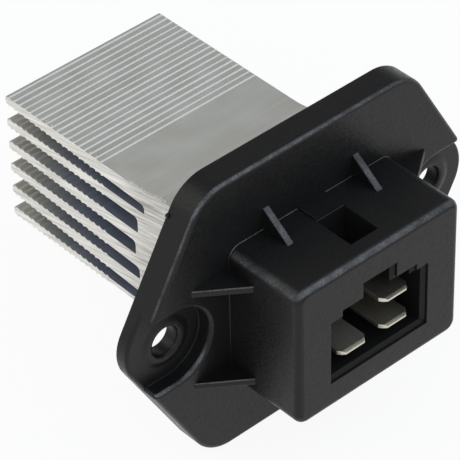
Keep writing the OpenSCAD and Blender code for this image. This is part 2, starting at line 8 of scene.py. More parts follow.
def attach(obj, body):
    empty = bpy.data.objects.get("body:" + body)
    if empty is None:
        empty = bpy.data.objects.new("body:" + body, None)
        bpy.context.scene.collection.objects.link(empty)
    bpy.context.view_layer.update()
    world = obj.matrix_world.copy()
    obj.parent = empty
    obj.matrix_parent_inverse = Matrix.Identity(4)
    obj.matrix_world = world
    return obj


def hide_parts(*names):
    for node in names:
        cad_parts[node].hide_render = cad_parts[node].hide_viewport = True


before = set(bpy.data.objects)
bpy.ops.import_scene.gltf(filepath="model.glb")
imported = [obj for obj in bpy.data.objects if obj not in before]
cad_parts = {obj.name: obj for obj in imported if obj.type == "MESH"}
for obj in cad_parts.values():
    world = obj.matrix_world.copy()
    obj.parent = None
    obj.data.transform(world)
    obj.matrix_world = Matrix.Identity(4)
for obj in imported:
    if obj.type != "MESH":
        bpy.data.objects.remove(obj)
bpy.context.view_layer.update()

scene = bpy.context.scene
scene.view_settings.view_transform = "Standard"

# Housing: flange, ears, plug socket, gussets, collar and snap arms in one piece of black glass-filled nylon.
# Injection moulded, its outer edges rounded by the tool; up-facing edges are paler (partly wear, partly painted
# highlight) and the socket's inside reflects less (painted shade).
# All other parts go into it; two screws through its ears hold the unit in the duct.
mm = 0.001
hole_x = 30.0
flange_t = 5.5
ear_r = 8.2
corner_r = 8.0
corner_x = 18.7
corner_z = 28.2 - corner_r
box_half_w = 18.3
box_half_h = 14.25
box_front = -21.8
socket_floor = -9.6
floor_back = -8.0
round_steps = 6


def arc_points(middle, radius, start, end, steps):
    return [(middle[0] + radius * math.cos(math.radians(start + (end - start) * k / steps)),
             middle[1] + radius * math.sin(math.radians(start + (end - start) * k / steps)))
            for k in range(steps + 1)]


def quarter(steps=round_steps):
    return [math.radians(90 * k / steps) for k in range(steps + 1)]


def stack(rings):
    """Closed skin through rings of points that all have the same count."""
    count = len(rings[0])
    points = [point for ring in rings for point in ring]
    faces = [list(range(count)), list(range((len(rings) - 1) * count, len(rings) * count))]
    for level in range(len(rings) - 1):
        for k in range(count):
            after = (k + 1) % count
            faces.append([level * count + k, level * count + after,
                          (level + 1) * count + after, (level + 1) * count + k])
    return points, faces


def along_y(outline, levels):
    """Skin whose outline in X and Z, grown by a distance, is given at each Y."""
    return stack([[(x, y, z) for x, z in outline(grow)] for y, grow in levels])


def rectangle(x0, x1, z0, z1, radius=0.0):
    def outline(grow):
        a, b, c, d = x0 - grow, x1 + grow, z0 - grow, z1 + grow
        r = radius + grow
        if not radius:
            return [(a, c), (b, c), (b, d), (a, d)]
        corners = ((b - r, d - r), (a + r, d - r), (a + r, c + r), (b - r, c + r))
        return [point for k, corner in enumerate(corners)
                for point in arc_points(corner, r, 90 * k, 90 * (k + 1), round_steps)]
    return outline


def circle(x, radius, steps=64):
    def outline(grow):
        return arc_points((x, 0.0), radius + grow, 0, 360 * (steps - 1) / steps, steps - 1)
    return outline


def block(x0, x1, y0, y1, z0, z1):
    return along_y(rectangle(x0, x1, z0, z1), [(y0, 0.0), (y1, 0.0)])


def span(side, near, far):
    return sorted((side * near, side * far))


def skins_object(name, skins, edge_round=0.0):
    """One object from closed skins, in metres, faces outwards, every edge rounded if asked."""
    mesh = bmesh.new()
    for points, faces in skins:
        verts = [mesh.verts.new(Vector(point) * mm) for point in points]
        for face in faces:
            mesh.faces.new([verts[k] for k in face])
    bmesh.ops.remove_doubles(mesh, verts=mesh.verts, dist=1e-7)
    bmesh.ops.recalc_face_normals(mesh, faces=mesh.faces)
    if edge_round:
        bmesh.ops.bevel(mesh, geom=list(mesh.edges), offset=edge_round * mm, segments=3, profile=0.5,
                        affect="EDGES", clamp_overlap=True)
    data = bpy.data.meshes.new(name)
    mesh.to_mesh(data)
    mesh.free()
    made = bpy.data.objects.new(name, data)
    scene.collection.objects.link(made)
    return made


def combine(target, tools):
    """Adds or cuts the tools one after another and keeps the plain result."""
    for operation, tool in tools:
        step = target.modifiers.new("step", "BOOLEAN")
        step.operation = operation
        step.object = tool
        step.solver = "EXACT"
    result = bpy.data.meshes.new_from_object(target.evaluated_get(bpy.context.evaluated_depsgraph_get()))
    target.modifiers.clear()
    target.data = result
    for operation, tool in tools:
        bpy.data.objects.remove(tool)


def soften(target, sharp_angle):
    """Merged points, smooth shading across the roundings and flat faces kept flat."""
    mesh = bmesh.new()
    mesh.from_mesh(target.data)
    bmesh.ops.remove_doubles(mesh, verts=mesh.verts, dist=2e-6)
    bmesh.ops.dissolve_degenerate(mesh, edges=mesh.edges, dist=1e-6)
    for face in mesh.faces:
        face.smooth = True
    mesh.to_mesh(target.data)
    mesh.free()
    target.data.set_sharp_from_angle(angle=math.radians(sharp_angle))
    weigh = target.modifiers.new("weigh", "WEIGHTED_NORMAL")
    weigh.keep_sharp = True
    weigh.weight = 100
    result = bpy.data.meshes.new_from_object(target.evaluated_get(bpy.context.evaluated_depsgraph_get()))
    target.modifiers.clear()
    target.data = result


slant = math.degrees(math.atan2(corner_z, corner_x - hole_x)
                     - math.acos((ear_r - corner_r) / math.hypot(corner_x - hole_x, corner_z)))


def flange_outline(grow):
    steps = 16
    points = []
    for x, z, r, start, end in ((hole_x, 0, ear_r, -slant, slant), (corner_x, corner_z, corner_r, slant, 90),
                                (-corner_x, corner_z, corner_r, 90, 180 - slant),
                                (-hole_x, 0, ear_r, 180 - slant, 180 + slant),
                                (-corner_x, -corner_z, corner_r, 180 + slant, 270),
                                (corner_x, -corner_z, corner_r, 270, 360 - slant)):
        points += arc_points((x, z), r + grow, start, end, steps)
    return points


pocket_r, nose_r = 7.5, 0.65
nose_z = pocket_r + nose_r
nose_x = ((math.cos(math.radians(slant)) * corner_x + math.sin(math.radians(slant)) * (corner_z - nose_z)
           + corner_r - nose_r) / math.cos(math.radians(slant)))
nose_half = math.radians(45 - slant / 2)
nose_way = (-math.sin(math.radians(slant) + nose_half), math.cos(math.radians(slant) + nose_half))


def slab_outline(grow):
    """Outline of the thick part, with a round bay over each ear and round noses beside the bay."""
    points = []
    for x, z, r, start, end in ((hole_x, 0, -pocket_r, 270, 90), (nose_x, nose_z, nose_r, -90, slant),
                                (corner_x, corner_z, corner_r, slant, 90),
                                (-corner_x, corner_z, corner_r, 90, 180 - slant),
                                (-nose_x, nose_z, nose_r, 180 - slant, 270), (-hole_x, 0, -pocket_r, 90, -90),
                                (-nose_x, -nose_z, nose_r, 90, 180 + slant),
                                (-corner_x, -corner_z, corner_r, 180 + slant, 270),
                                (corner_x, -corner_z, corner_r, 270, 360 - slant),
                                (nose_x, -nose_z, nose_r, -slant, 90)):
        steps = 36 if r < 0 else 14
        pulled = max(0.02 - r - grow, 0.0) if r > 0 else 0.0
        back = pulled / math.sin(nose_half)
        x -= math.copysign(back * nose_way[0], x)
        z += math.copysign(back * nose_way[1], z)
        points += arc_points((x, z), abs(r + grow + pulled), start, end, steps)
    return points


plate_t, plate_edge, seat_edge, edge_r = 2.6, 0.6, 0.2, 0.85
slab_start, cove_start, box_start, foot_start = -0.8, -1.0, -1.0, -4.0
plate_levels = ([(0.0, -seat_edge), (-0.3 * seat_edge, -0.3 * seat_edge), (-seat_edge, 0.0)]
                + [(-(plate_t - plate_edge) - plate_edge * math.sin(a), -plate_edge * (1 - math.cos(a)))
                   for a in quarter()])
slab_levels = [(slab_start, 0.0)] + [(-(flange_t - edge_r) - edge_r * math.sin(a), -edge_r * (1 - math.cos(a)))
                                     for a in quarter(8)]
box_r, box_in, box_corner_r = 1.4, 1.3986, 2.3
box_outline = rectangle(-box_half_w, box_half_w, -box_half_h, box_half_h, box_corner_r)
box_levels = [(box_start, 0.0)] + [(box_front + box_r * (1 - math.sin(a)), -box_in * (1 - math.cos(a)))
                                   for a in quarter(8)]
foot_r = 0.18
foot_levels = [(foot_start, foot_r)] + [(-flange_t - foot_r * (1 - math.cos(a)), foot_r * (1 - math.sin(a)))
                                        for a in quarter(4)][:-1] + [(-flange_t - foot_r, 0.001)]

housing = skins_object("housing_moulding", [along_y(flange_outline, plate_levels)])
slab = skins_object("slab", [along_y(slab_outline, slab_levels)])
cove_r, cove_in = 0.16, 0.4
cove = skins_object("cove", [along_y(slab_outline, [(cove_start, cove_r)] + [
    (-plate_t - cove_r * (1 - math.cos(a)), cove_r * (1 - math.sin(a))) for a in quarter(4)])])
cove_field = skins_object("cove_field", [along_y(flange_outline, [(-0.9, -cove_in), (-flange_t, -cove_in)])])
combine(cove, [("INTERSECT", cove_field)])
box_body = skins_object("box_body", [along_y(box_outline, box_levels)])
box_foot = skins_object("box_foot", [along_y(box_outline, foot_levels)])

gusset_pos, gusset_t, gusset_run, gusset_up, gusset_out, left_drop = 10.0, 1.35, 6.0, 4.4, 8.2, 0.5
sunk, small_round = 0.8, 0.3
gusset_skins = []
for sx in (-1, 1):
    for sz in (-1, 1):
        upper = [(-flange_t + sunk, sz * (box_half_h - sunk)), (-flange_t - gusset_run, sz * (box_half_h - sunk)),
                 (-flange_t - gusset_run, sz * box_half_h), (-flange_t, sz * (box_half_h + gusset_up)),
                 (-flange_t + sunk, sz * (box_half_h + gusset_up))]
        gusset_skins.append(stack([[(sx * gusset_pos + side * gusset_t / 2, y, z) for y, z in upper]
                                   for side in (-1, 1)]))
        flank = [(sx * (box_half_w - sunk), -flange_t + sunk), (sx * (box_half_w - sunk), -flange_t - gusset_run),
                 (sx * box_half_w, -flange_t - gusset_run), (sx * (box_half_w + gusset_out), -flange_t),
                 (sx * (box_half_w + gusset_out), -flange_t + sunk)]
        flank_z = sz * gusset_pos - (left_drop if sx < 0 else 0)
        gusset_skins.append(stack([[(x, y, flank_z + side * gusset_t / 2) for x, y in flank]
                                   for side in (-1, 1)]))
gussets = skins_object("gussets", gusset_skins, small_round)

window_half, window_back, window_front = 3.0, -10.1, -18.0
strip_rise, strip_over, strip_round = 0.35, 0.6, 0.12
strip = skins_object("strip", [block(-window_half, window_half, window_back - strip_over, -flange_t + sunk,
                                     box_half_h - sunk, box_half_h + strip_rise)], strip_round)

ring_r, ring_rise, ring_foot = 3.7, 0.3, 1.5
ring_levels = [(-plate_t + sunk, ring_foot)] + [
    (-plate_t - ring_rise * (k / 8) ** 2 * (3 - k / 4), ring_foot * (1 - k / 8)) for k in range(9)]
rings = skins_object("rings", [along_y(circle(side * hole_x, ring_r), ring_levels) for side in (-1, 1)])
hole_r, hole_edge, past_seat = 2.7, 0.6, 1.0
hole_levels = ([(-flange_t, hole_edge)]
               + [(-plate_t - ring_rise + hole_edge * (1 - math.cos(a)), hole_edge * (1 - math.sin(a)))
                  for a in quarter()] + [(past_seat, 0.0)])
holes = skins_object("holes", [along_y(circle(side * hole_x, hole_r), hole_levels) for side in (-1, 1)])

lead_in, rim_break, past_face = 0.9, 0.1, 2.0
recess, ledge_slope = 0.5, 0.35
ledge_y = box_front + recess + ledge_slope
mouth_levels = [(box_front - past_face, lead_in + rim_break), (box_front, lead_in + rim_break),
                (box_front + 0.03, lead_in + 0.03), (box_front + rim_break, lead_in),
                (box_front + recess, lead_in - 0.02), (ledge_y, 0.1), (ledge_y + 0.08, 0.02),
                (ledge_y + 0.2, 0.0), (socket_floor, 0.0)]
socket_low = -7.8
mouths = [skins_object("mouth", [along_y(rectangle(-half, half, socket_low, top), mouth_levels)])
          for half, top in ((10.1, 3.5), (7.5, 4.75), (2.9, 7.8))]
window_edge, window_low = 0.2, 7.0
window_cut = skins_object("window_cut", [stack([
    [(x, y, z) for x, y in rectangle(-window_half, window_half, window_front, window_back)(grow)]
    for z, grow in ((window_low, 0.0), (box_half_h - window_edge, 0.0), (box_half_h - 0.05, 0.06),
                    (box_half_h + 0.02, window_edge), (box_half_h + past_face, window_edge))])])

chamber_half_w, chamber_half_h, back_half_h = 16.0, 11.95, 12.3
chamber_end, back_start = -1.0, -1.2
chamber = skins_object("chamber", [block(-chamber_half_w, chamber_half_w, floor_back, chamber_end,
                                         -chamber_half_h, chamber_half_h)])
chamber_back = skins_object("chamber_back", [block(-chamber_half_w, chamber_half_w, back_start, past_seat,
                                                   -back_half_h, back_half_h)])
core_in, front_wall = 12.5, 2.6
cores = skins_object("cores", [block(*span(side, core_in, chamber_half_w), box_front + front_wall, floor_back + 0.5,
                                     -chamber_half_h, chamber_half_h) for side in (-1, 1)])
blade_places = {"terminal_signal": (4.75, 0.7), "terminal_ground": (4.75, -5.1), "terminal_motor": (-4.75, -5.1)}
slit_half_w, slit_half_t, past_wall = 3.25, 0.5, 1.0
blade_slots = skins_object("blade_slots", [
    block(x - slit_half_w, x + slit_half_w, socket_floor - past_wall, floor_back + past_wall,
          z - slit_half_t, z + slit_half_t) for x, z in blade_places.values()])

rim_w, web_t = 2.2, 2.6
base_half_h, base_half_w, play, collar_t = 13.8, 17.5, 0.2, 2.2
core_reach = hole_x - pocket_r - rim_w
core_low = base_half_h + play + collar_t + rim_w
core_w = (2 * core_reach - 2 * rim_w) / 3
core_floor, core_round, core_draft, past_rim = web_t - flange_t, 0.3, 0.1, 40.0
back_cores = skins_object("back_cores", [along_y(flange_outline, [
    (core_floor, -rim_w - core_round / 2), (core_floor + core_round, -rim_w), (past_seat, -rim_w + core_draft)])])
back_fields = skins_object("back_fields", [
    block(k * (core_w + rim_w) - core_w / 2, k * (core_w + rim_w) + core_w / 2, -flange_t, 2 * past_seat,
          *span(side, core_low, past_rim)) for side in (-1, 1) for k in (-1, 0, 1)])
combine(back_cores, [("INTERSECT", back_fields)])

collar_x, collar_z, collar_len = base_half_w + play, base_half_h + play, 3.0
collar_start, arm_start, bore_lead = -1.0, -0.6, 0.5
collar = skins_object("collar", [block(-collar_x - collar_t, collar_x + collar_t, collar_start, collar_len,
                                       -collar_z - collar_t, collar_z + collar_t)], small_round)
collar_bore = skins_object("collar_bore", [along_y(rectangle(-collar_x, collar_x, -collar_z, collar_z), [
    (0.0, 0.0), (collar_len - 0.4, 0.0), (collar_len + 0.1, bore_lead), (collar_len + 1.0, bore_lead)])])
combine(collar, [("DIFFERENCE", collar_bore)])
groove_y, groove_w, groove_d, barb_play = 6.0, 2.4, 1.1, 0.15
snap_half, snap_end = 6.0, groove_y + groove_w + 1.2
arms = skins_object("arms", [block(-snap_half, snap_half, arm_start, snap_end,
                                   *span(side, collar_z, collar_z + collar_t)) for side in (-1, 1)], small_round)
barb_low, barb_root = base_half_h - groove_d + barb_play, collar_z + 0.6
barb_front, barb_back = groove_y + barb_play, groove_y + groove_w - barb_play
barb = [(barb_front, barb_root), (barb_front, barb_low), (groove_y + groove_w / 2, barb_low), (barb_back, collar_z),
        (barb_back, barb_root)]
barb_half = snap_half - small_round
barbs = skins_object("barbs", [stack([[(x, y, side * z) for y, z in barb] for x in (-barb_half, barb_half)])
                               for side in (-1, 1)])
board_front, rest_x, rest_z, rest_half, rest_sunk = -7.2, 11.5, 10.55, 1.0, 0.6
rests = skins_object("rests", [block(x - rest_half, x + rest_half, floor_back - rest_sunk, board_front,
                                     z - rest_half, z + rest_half)
                               for x, z in ((-rest_x, rest_z), (rest_x, rest_z), (rest_x, -rest_z))])
gate_run, gate_r, gate_edge = 1.4, 0.45, 0.15
gate_x = -corner_x - corner_r * math.cos(math.radians(slant)) - gate_run * math.sin(math.radians(slant))
gate_z = corner_z + corner_r * math.sin(math.radians(slant)) - gate_run * math.cos(math.radians(slant))
gate_mark = skins_object("gate_mark", [along_y(
    lambda grow: [(gate_x + x, gate_z + z) for x, z in arc_points((0, 0), gate_r + grow, 0, 337.5, 15)],
    [(-0.7, -gate_edge), (-0.55, 0.0), (-0.17, 0.0), (-0.02, -gate_edge)])])

joined = [slab, cove, box_foot, box_body, gussets, strip, gate_mark, rings]
cut = [holes, back_cores, chamber, chamber_back, cores, *mouths, window_cut, blade_slots]
behind = [collar, arms, barbs, rests]
combine(housing, [("UNION", form) for form in joined] + [("DIFFERENCE", form) for form in cut]
        + [("UNION", form) for form in behind])
soften(housing, 32)


def add_node(tree, kind, settings=None, inputs=None):
    node = tree.nodes.new(kind)
    for name, value in (settings or {}).items():
        setattr(node, name, value)
    for name, value in (inputs or {}).items():
        if isinstance(value, bpy.types.NodeSocket):
            tree.links.new(value, node.inputs[name])
        else:
            node.inputs[name].default_value = value
    return node


def start_finish(name, metallic, roughness):
    material = bpy.data.materials.new(name)
    material.use_nodes = True
    tree = material.node_tree
    shader = tree.nodes["Principled BSDF"]
    shader.inputs["Metallic"].default_value = metallic
    shader.inputs["Roughness"].default_value = roughness
    place = add_node(tree, "ShaderNodeTexCoord").outputs["Object"]
    return material, tree, shader, place


def feed(shader, socket, value):
    shader.id_data.links.new(value, shader.inputs[socket])


def ramp(tree, value, stops, interpolation="LINEAR"):
    node = add_node(tree, "ShaderNodeValToRGB", inputs={"Fac": value})
    node.color_ramp.interpolation = interpolation
    while len(node.color_ramp.elements) < len(stops):
        node.color_ramp.elements.new(1.0)
    for element, (position, colour) in zip(node.color_ramp.elements, stops):
        element.position = position
        element.color = (*colour, 1.0)
    return node.outputs["Color"]


def grey(value):
    return (value, value, value)


def noise(tree, place, scale, detail=3.0, roughness=0.5):
    return add_node(tree, "ShaderNodeTexNoise", inputs={
        "Vector": place, "Scale": scale, "Detail": detail, "Roughness": roughness}).outputs[0]


def axes(tree, vector):
    return add_node(tree, "ShaderNodeSeparateXYZ", inputs={0: vector}).outputs


def between(tree, value, start, end):
    return add_node(tree, "ShaderNodeMapRange", {"interpolation_type": "SMOOTHSTEP"},
                    {"Value": value, "From Min": start, "From Max": end}).outputs[0]


def spread(tree, value, start, end, low=0.0, high=1.0, clamp=True):
    return add_node(tree, "ShaderNodeMapRange", {"clamp": clamp}, {
        "Value": value, "From Min": start, "From Max": end, "To Min": low, "To Max": high}).outputs[0]


def math_node(tree, operation, *values):
    return add_node(tree, "ShaderNodeMath", {"operation": operation}, dict(enumerate(values))).outputs[0]


def product(tree, first, *others):
    for other in others:
        first = math_node(tree, "MULTIPLY", first, other)
    return first


def coat(tree, share, under, over, way="MIX"):
    return add_node(tree, "ShaderNodeMix", {"data_type": "RGBA", "blend_type": way},
                    {"Factor": share, 6: under, 7: over}).outputs[2]


def roughen(tree, shader, height, strength, distance):
    bump = add_node(tree, "ShaderNodeBump", inputs={"Strength": strength, "Distance": distance, "Height": height})
    feed(shader, "Normal", bump.outputs["Normal"])


nylon, tree, shader, place = start_finish("black_nylon", 0.0, 0.5)
shader.inputs["Specular IOR Level"].default_value = 0.23
shader.inputs["Specular Tint"].default_value = (1.0, 0.97, 0.92, 1.0)
speckle = noise(tree, place, 1900.0)
plain_black = ramp(tree, noise(tree, place, 90.0, 4.0),
                   [(0.3, (0.0066, 0.0066, 0.0069)), (0.7, (0.0088, 0.0086, 0.0087))])
faces = axes(tree, add_node(tree, "ShaderNodeNewGeometry").outputs["Normal"])
spot = axes(tree, place)
turned = {axis: math_node(tree, "ABSOLUTE", faces[axis]) for axis in "XYZ"}
straightest = math_node(tree, "MAXIMUM", turned["X"], math_node(tree, "MAXIMUM", turned["Y"], turned["Z"]))
# Painted highlight with some wear: rounded edges facing up, on the flange's front rim and the box, are painted a pale
# bluish grey, mottled, and stronger toward the left, where the light comes from.
front_edge = product(tree, between(tree, faces["Y"], -0.1, -0.3), between(tree, faces["Z"], 0.3, 0.55),
                     between(tree, spot["Y"], (edge_r + 0.2 - flange_t) * mm, (edge_r - flange_t) * mm))
side_edge = product(tree, between(tree, turned["Y"], 0.3, 0.1),
                    between(tree, faces["Z"], 0.05, 0.35), between(tree, faces["Z"], 1.0, 0.5),
                    between(tree, spot["Y"], (-flange_t - 0.2) * mm, (-flange_t - 0.6) * mm))
past_socket = math_node(tree, "MAXIMUM", between(tree, math_node(tree, "ABSOLUTE", spot["X"]), 15.5 * mm, 16.5 * mm),
                        between(tree, spot["Z"], 11 * mm, 12 * mm))
worn_and_lit_edges = math_node(tree, "MAXIMUM", math_node(tree, "MULTIPLY", 1.25, front_edge),
                   math_node(tree, "MULTIPLY", 0.8, side_edge))
painted_light_from_left = spread(tree, spot["X"], 25 * mm, -15 * mm, 0.35, 1.0)
patchy = spread(tree, noise(tree, place, 420.0, 2.0), 0.35, 0.65, 0.6, 1.5)
wear_and_painted_highlight = product(tree, worn_and_lit_edges, past_socket, between(tree, straightest, 0.99, 0.86),
                  between(tree, noise(tree, place, 4200.0, 2.0), 0.1, 0.8), painted_light_from_left, patchy)
feed(shader, "Base Color", coat(tree, wear_and_painted_highlight, plain_black, (0.09, 0.094, 0.10, 1.0)))
feed(shader, "Roughness", ramp(tree, speckle, [(0.3, grey(0.28)), (0.7, grey(0.46))]))
roughen(tree, shader, speckle, 0.4, 0.1 * mm)
# Painted shade: a copy of the finish that reflects less is put on the faces inside the socket.
socket_shade_nylon = nylon.copy()
socket_shade_nylon.name = "black_nylon_socket_shade"
socket_shade_nylon.node_tree.nodes["Principled BSDF"].inputs["Specular IOR Level"].default_value = 0.14
housing.data.materials.clear()
housing.data.materials.append(nylon)
housing.data.materials.append(socket_shade_nylon)
for face in housing.data.polygons:
    x, y, z = face.center / mm
    in_socket = (box_front + 0.06 < y < floor_back + 0.1
                 and abs(x) < box_half_w - 1.2 and abs(z) < box_half_h - 1.0)
    face.material_index = int(in_socket)
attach(housing, "root")
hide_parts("housing")

# Blades: three flat terminals, stamped from tinned brass strip with bevelled tips.
# They are pushed through the socket's back wall up to their shoulders and soldered to the board.
def stretched(tree, place, scale):
    return add_node(tree, "ShaderNodeMapping", inputs={"Vector": place, "Scale": scale}).outputs[0]


brass, tree, shader, place = start_finish("tinned_brass", 1.0, 0.34)
streak = noise(tree, stretched(tree, place, (2600.0, 180.0, 900.0)), 1.0)
tinned = ramp(tree, streak, [(0.25, (0.62, 0.585, 0.50)), (0.75, (0.72, 0.685, 0.60))])
faces = axes(tree, add_node(tree, "ShaderNodeNewGeometry").outputs["Normal"])
tip_slope = product(tree, between(tree, faces["Y"], -0.15, -0.4), between(tree, faces["Z"], 0.2, 0.5))
feed(shader, "Base Color", coat(tree, tip_slope, tinned, (0.58, 0.56, 0.48, 1.0), "MULTIPLY"))
feed(shader, "Roughness", ramp(tree, streak, [(0.2, grey(0.34)), (0.8, grey(0.42))]))
roughen(tree, shader, noise(tree, place, 3000.0), 0.35, 0.06 * mm)
blade_round = 0.1
for blade_name in blade_places:
    blade = bmesh.new()
    blade.from_mesh(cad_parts[blade_name].data)
    bmesh.ops.remove_doubles(blade, verts=blade.verts, dist=1e-6)
    bmesh.ops.dissolve_limit(blade, angle_limit=math.radians(1), verts=blade.verts, edges=blade.edges)
    bmesh.ops.bevel(blade, geom=[e for e in blade.edges if e.calc_face_angle(0) > math.radians(15)],
                    offset=blade_round * mm, segments=3, profile=0.5, affect="EDGES", clamp_overlap=True)
    blade_mesh = bpy.data.meshes.new(blade_name + "_blade")
    blade.to_mesh(blade_mesh)
    blade.free()
    piece = bpy.data.objects.new(blade_name + "_blade", blade_mesh)
    scene.collection.objects.link(piece)
    soften(piece, 12)
    piece.data.materials.clear()
    piece.data.materials.append(brass)
    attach(piece, "root")
    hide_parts(blade_name)

# Circuit board: green-coated glass laminate that carries the blades' tails, the leads and the small parts.
# Cut from sheet, it lies on three rests inside the housing and the soldered blades hold it there.
def dress(names, finish):
    for name in names:
        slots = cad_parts[name].data.materials
        slots.clear()
        slots.append(finish)


laminate, tree, shader, place = start_finish("board_laminate", 0.0, 0.4)
threads = [add_node(tree, "ShaderNodeTexWave", {"bands_direction": way},
                    {"Vector": place, "Scale": 420.0, "Distortion": 1.5}).outputs[1] for way in ("X", "Z")]
weave = product(tree, *threads)
feed(shader, "Base Color", ramp(tree, weave, [(0.0, (0.012, 0.075, 0.03)), (0.8, (0.03, 0.13, 0.055))]))
feed(shader, "Roughness", ramp(tree, noise(tree, place, 900.0), [(0.3, grey(0.34)), (0.7, grey(0.46))]))
dress(["circuit_board"], laminate)

# Two resistors, a diode and a ceramic capacitor: bought parts with tinned wires bent through the board.
# Lacquered or moulded bodies with painted bands; they are soldered on the front of the board.
wire_colour = (0.62, 0.61, 0.58, 1.0)


def wired_finish(name, axis, start, end, bands, roughness):
    """Painted bands along the body between two places on an axis, in mm; bare wire outside them."""
    finish, tree, shader, place = start_finish(name, 0.0, roughness)
    share = spread(tree, axes(tree, place)[axis], start * mm, end * mm, clamp=False)
    bare = math_node(tree, "GREATER_THAN",
                     math_node(tree, "ABSOLUTE", math_node(tree, "SUBTRACT", share, 0.5)), 0.5)
    speck = ramp(tree, noise(tree, place, 1500.0), [(0.3, grey(0.8)), (0.7, grey(1.0))])
    body = coat(tree, 1.0, ramp(tree, share, bands, "CONSTANT"), speck, "MULTIPLY")
    feed(shader, "Base Color", coat(tree, bare, body, wire_colour))
    feed(shader, "Metallic", bare)
    return finish


tan, brown, black = (0.55, 0.40, 0.22), (0.10, 0.035, 0.012), (0.008, 0.008, 0.008)
orange, gold, silver = (0.70, 0.18, 0.02), (0.42, 0.27, 0.06), (0.5, 0.5, 0.5)
resistor_z, resistor_half, diode_z, diode_half = -2.8, 3.15, 4.8, 2.3
for resistor, third in (("gate_resistor", brown), ("pulldown_resistor", orange)):
    stripes = [(0.0, tan), (0.12, brown), (0.22, tan), (0.32, black), (0.42, tan), (0.52, third), (0.62, tan),
               (0.78, gold), (0.88, tan)]
    dress([resistor], wired_finish("lacquer_" + resistor, "Z", resistor_z - resistor_half, resistor_z + resistor_half,
                                   stripes, 0.35))
dress(["zener_diode"], wired_finish("diode_epoxy", "Z", diode_z - diode_half, diode_z + diode_half,
                                    [(0.0, black), (0.7, silver), (0.85, black)], 0.4))
dress(["filter_capacitor"], wired_finish("capacitor_resin", "Y", -5.1, 0.0, [(0.0, (0.50, 0.24, 0.05))], 0.45))

# Power transistor: black moulded body on a tinned copper tab, with three flat leads bent through the board.
# It is pressed against the heat sink by its screw and turns the blower's spare current into heat.
epoxy, tree, shader, place = start_finish("moulding_epoxy", 0.0, 0.55)
feed(shader, "Base Color", ramp(tree, noise(tree, place, 1300.0), [(0.3, grey(0.007)), (0.7, grey(0.016))]))
dress(["transistor_body"], epoxy)
copper, tree, shader, place = start_finish("tinned_copper", 1.0, 0.35)
rolled = noise(tree, stretched(tree, place, (1800.0, 1800.0, 150.0)), 1.0)
feed(shader, "Base Color", ramp(tree, rolled, [(0.3, (0.56, 0.55, 0.53)), (0.7, (0.72, 0.71, 0.69))]))
dress(["drain_tab", "gate_lead", "source_lead"], copper)

# Insulating pad and bush: filled silicone sheet behind the tab and a shouldered moulded washer in its hole.
# Together they let the heat through and keep the screw and the heat sink off the tab's voltage.
silicone, tree, shader, place = start_finish("silicone", 0.0, 0.7)
filler = noise(tree, place, 1100.0)
feed(shader, "Base Color", ramp(tree, filler, [(0.3, (0.20, 0.21, 0.23)), (0.7, (0.28, 0.29, 0.31))]))
dress(["insulator_pad"], silicone)
bush, tree, shader, place = start_finish("bush_plastic", 0.0, 0.5)
cloudy = noise(tree, place, 700.0)
feed(shader, "Base Color", ramp(tree, cloudy, [(0.3, (0.34, 0.27, 0.17)), (0.7, (0.44, 0.36, 0.24))]))
dress(["insulating_bush"], bush)

# Clamp screw and spring washer: zinc-plated steel, turned and stamped.
# The screw goes through washer, bush and tab into the tapped hole in the heat sink's base.
zinc, tree, shader, place = start_finish("zinc_steel", 1.0, 0.32)
plated = noise(tree, place, 600.0, 4.0)
feed(shader, "Base Color", ramp(tree, plated, [(0.3, (0.52, 0.54, 0.57)), (0.7, (0.68, 0.70, 0.72))]))
feed(shader, "Roughness", ramp(tree, noise(tree, place, 2200.0), [(0.3, grey(0.26)), (0.7, grey(0.4))]))
dress(["spring_washer", "clamp_screw"], zinc)

# Solder joints: small bright cones around each tail, lead and wire on the front of the board.
# They hold the small parts and the blades to the board.
solder, tree, shader, place = start_finish("solder", 1.0, 0.25)
wetted = noise(tree, place, 1400.0)
feed(shader, "Base Color", ramp(tree, wetted, [(0.3, (0.58, 0.58, 0.57)), (0.7, (0.74, 0.74, 0.72))]))
feed(shader, "Roughness", ramp(tree, noise(tree, place, 2600.0), [(0.3, grey(0.2)), (0.7, grey(0.36))]))
dress(["solder_joints"], solder)

# Heat sink: one aluminium extrusion, sawn to length, with six fins and fine ridges along every fin.
# Its base sits in the collar and is held by the two snap arms; the transistor is screwed to its front.
sink_w, sink_len = 35.0, 52.4
fin_count, fin_pitch, fin_tip_t = 6, 4.9, 1.5
half_fins = (fin_count - 1) / 2 * fin_pitch + fin_tip_t / 2
root_pitch, root_drop = fin_pitch + 0.4, 0.76
fin_root_t, fin_root_grow, top_root_t, low_root_t = 2.45, 0.36, 3.0, 0.7
crown_y, crown_r = 19.0, 18.0
roof_r, sole_r = 0.9, 0.3
ridge_pitch, ridge_start, ridge_count, ridge_h, ridge_w, ridge_drop = 1.43, 0.83, 18, 0.13, 0.34, 0.1
slot_ridge_h, slot_ridge_w = 0.34, 0.66
face_steps, end_steps = 512, 16
top_slot_mid = (half_fins - top_root_t + (1.5 * root_pitch - root_drop + (fin_root_t - 1.5 * fin_root_grow) / 2)) / 2
flare_end = crown_y - (top_slot_mid + root_drop) ** 2 / (2 * crown_r) + roof_r
flare_len, flare_rise, flare_steps = 5.0, 0.8, 16
burr_count, burr_start, burr_pitch, burr_h, burr_w = 19, 10.7, 0.5, 0.75, 0.13
tick_count, tick_start = 12, 27.1
burr_side = -0.498

